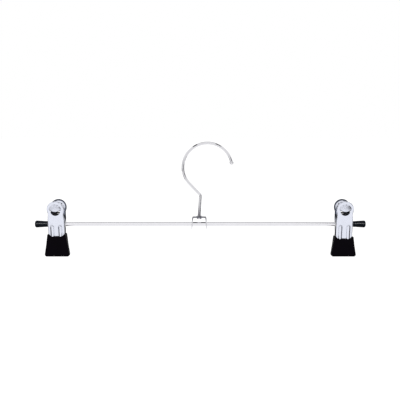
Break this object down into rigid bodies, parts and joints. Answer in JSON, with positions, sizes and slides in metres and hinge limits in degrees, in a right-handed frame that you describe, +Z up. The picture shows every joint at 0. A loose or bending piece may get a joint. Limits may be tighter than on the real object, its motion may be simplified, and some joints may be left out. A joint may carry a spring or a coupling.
{
  "type": "trouser hanger",
  "caption": "Bar hanger with a swivelling wire hook and sliding, swinging spring clips whose dipped jaws grip trousers or a skirt by the hem or waistband.",
  "frame": {"origin": "where the hook rests on a rail: the lowest point that touches the rail, at the top of the hook's inside, in the hook's plane", "axes": "+X along the bar towards the hook's open side, +Y towards the back, along the rail, +Z up"},
  "size_m": [0.3169, 0.0258, 0.1102],
  "materials": {
    "bright_chrome": "polished chrome plate on steel",
    "chrome_plate": "chrome plate on stamped sheet, slightly soft",
    "nickel_sleeve": "nickel plated, satin",
    "spring_wire": "drawn spring wire",
    "dipped_vinyl": "semi-gloss dipped coat",
    "black_vinyl": "glossy moulded vinyl"
  },
  "bodies": {
    "hook": {"swivel_hook": "bright_chrome"},
    "bar_frame": {"bar": "bright_chrome", "saddle": "bright_chrome", "left_end_cap": "black_vinyl", "right_end_cap": "black_vinyl"},
    "left_slider": {"left_pivot_sleeve": "nickel_sleeve"},
    "left_back_jaw": {"left_back_plate": "chrome_plate", "left_back_pad": "dipped_vinyl", "left_spring": "spring_wire"},
    "left_front_jaw": {"left_front_plate": "chrome_plate", "left_front_pad": "dipped_vinyl"},
    "right_slider": {"right_pivot_sleeve": "nickel_sleeve"},
    "right_back_jaw": {"right_back_plate": "chrome_plate", "right_back_pad": "dipped_vinyl", "right_spring": "spring_wire"},
    "right_front_jaw": {"right_front_plate": "chrome_plate", "right_front_pad": "dipped_vinyl"}
  },
  "joints": [
    {"name": "hook_swivel", "type": "hinge", "parent": "hook", "child": "bar_frame", "pos_m": [-0.00785, 0, -0.0694], "axis": [0, 0, 1], "continuous": true},
    {"name": "left_clip_slide", "type": "slide", "parent": "bar_frame", "child": "left_slider", "axis": [1, 0, 0], "range_m": [0, 0.115]},
    {"name": "left_clip_swing", "type": "hinge", "parent": "left_slider", "child": "left_back_jaw", "pos_m": [-0.1443, 0, -0.0762], "axis": [1, 0, 0], "continuous": true},
    {"name": "left_jaw_open", "type": "hinge", "parent": "left_back_jaw", "child": "left_front_jaw", "pos_m": [-0.1443, 0, -0.0762], "axis": [-1, 0, 0], "range_deg": [0, 35], "stiffness_Nm_per_rad": 0.12, "springref_deg": -34.38, "deforming": ["left_spring"]},
    {"name": "right_clip_slide", "type": "slide", "parent": "bar_frame", "child": "right_slider", "axis": [-1, 0, 0], "range_m": [0, 0.115]},
    {"name": "right_clip_swing", "type": "hinge", "parent": "right_slider", "child": "right_back_jaw", "pos_m": [0.1306, 0, -0.0762], "axis": [1, 0, 0], "continuous": true},
    {"name": "right_jaw_open", "type": "hinge", "parent": "right_back_jaw", "child": "right_front_jaw", "pos_m": [0.1306, 0, -0.0762], "axis": [-1, 0, 0], "range_deg": [0, 35], "stiffness_Nm_per_rad": 0.12, "springref_deg": -34.38, "deforming": ["right_spring"]}
  ]
}
